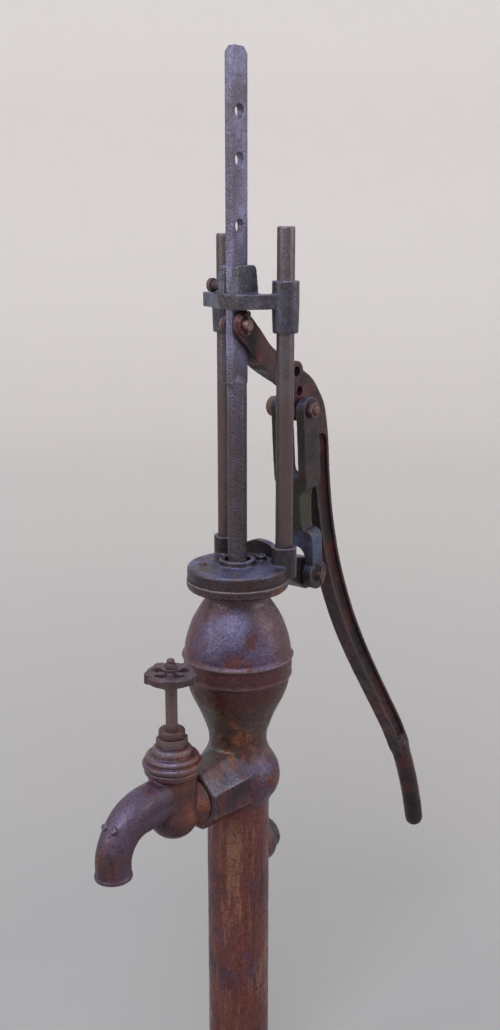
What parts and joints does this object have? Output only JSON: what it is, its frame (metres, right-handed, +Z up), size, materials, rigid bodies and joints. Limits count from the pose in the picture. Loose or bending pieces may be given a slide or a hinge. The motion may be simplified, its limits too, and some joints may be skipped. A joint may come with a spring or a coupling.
{
  "type": "hand well pump",
  "caption": "Tall cast hand well pump with an air chamber, lever handle on a swinging link, flat rod for a windmill, faucet spout and an inner plunger and foot valve.",
  "frame": {"origin": "centre of the base's underside, on the pump's vertical axis", "axes": "+Z up along the pump rod, +X towards the handle, the spout towards -X, pins along Y"},
  "size_m": [0.9352, 0.28, 1.758],
  "materials": {
    "rusty_casting": "rusted rough casting",
    "dark_casting": "worn dark casting",
    "handle_casting": "dark casting, hand worn",
    "worn_steel": "dull, lightly rusted bar",
    "rusty_fastener": "rusted",
    "bronze": "machined bronze",
    "seal_rubber": "matt",
    "pump_leather": "oiled",
    "hemp_packing": "greased braid"
  },
  "bodies": {
    "frame": {"base_flange": "rusty_casting", "base_set_screws": "rusty_fastener", "standard": "rusty_casting", "suction_bush": "bronze", "cylinder_liner": "bronze", "foot_valve_seat": "bronze", "cap_gasket": "seal_rubber", "top_cap": "dark_casting", "cap_screws": "rusty_fastener", "gland_bush": "bronze", "rod_packing": "hemp_packing", "guide_rod_left": "worn_steel", "guide_rod_right": "worn_steel", "back_outlet_plug": "rusty_fastener", "faucet_body": "rusty_casting", "bonnet_gasket": "seal_rubber", "bonnet": "rusty_casting", "stem_packing": "hemp_packing", "gland_nut": "rusty_casting", "valve_seat": "bronze"},
    "foot_valve": {"foot_valve_leather": "pump_leather", "foot_valve_poppet": "bronze"},
    "faucet_disc": {"valve_disc": "bronze", "disc_washer": "seal_rubber", "disc_screw": "bronze"},
    "faucet_wheel": {"valve_stem": "rusty_fastener", "handwheel": "rusty_casting", "wheel_nut": "rusty_fastener"},
    "plunger": {"pump_rod": "worn_steel", "crosshead": "dark_casting", "crosshead_set_screw": "rusty_fastener", "handle_pin": "rusty_fastener", "handle_cotter": "rusty_fastener", "rod_coupling": "worn_steel", "plunger_stem": "worn_steel", "plunger_body": "bronze", "cup_leather_upper": "pump_leather", "cup_leather_lower": "pump_leather", "cup_spacer": "bronze", "cup_clamp_ring": "bronze"},
    "plunger_valve": {"plunger_poppet": "bronze"},
    "lever": {"handle": "handle_casting"},
    "link": {"fulcrum_link": "dark_casting", "fulcrum_bolt": "rusty_fastener", "fulcrum_nut": "rusty_fastener", "pivot_pin": "rusty_fastener", "pivot_cotter": "rusty_fastener"}
  },
  "joints": [
    {"name": "handle_swing", "type": "hinge", "parent": "plunger", "child": "lever", "pos_m": [0, 0, 1.372], "axis": [0, -1, 0], "range_deg": [0, 36]},
    {"name": "plunger_slide", "type": "slide", "parent": "frame", "child": "plunger", "axis": [0, 0, -1], "range_m": [0, 0.1145]},
    {"name": "link_swing", "type": "hinge", "parent": "lever", "child": "link", "pos_m": [0.15, 0, 1.229], "axis": [0, -1, 0], "range_deg": [-49, 0]},
    {"name": "plunger_valve_lift", "type": "slide", "parent": "plunger", "child": "plunger_valve", "axis": [0, 0, 1], "range_m": [0, 0.008]},
    {"name": "foot_valve_lift", "type": "slide", "parent": "frame", "child": "foot_valve", "axis": [0, 0, 1], "range_m": [0, 0.008]},
    {"name": "faucet_disc_lift", "type": "slide", "parent": "frame", "child": "faucet_disc", "axis": [0, 0, 1], "range_m": [0, 0.0075]},
    {"name": "faucet_wheel_turn", "type": "hinge", "parent": "faucet_disc", "child": "faucet_wheel", "pos_m": [-0.16, 0, 0.869], "axis": [0, 0, 1], "range_deg": [0, 540]}
  ],
  "couplings": [
    {"joint": "plunger_slide", "follows": "handle_swing", "m_per_rad": 0.18163},
    {"joint": "link_swing", "follows": "handle_swing", "ratio": -1.355},
    {"joint": "faucet_wheel_turn", "follows": "faucet_disc_lift", "rad_per_m": 1256.6}
  ]
}
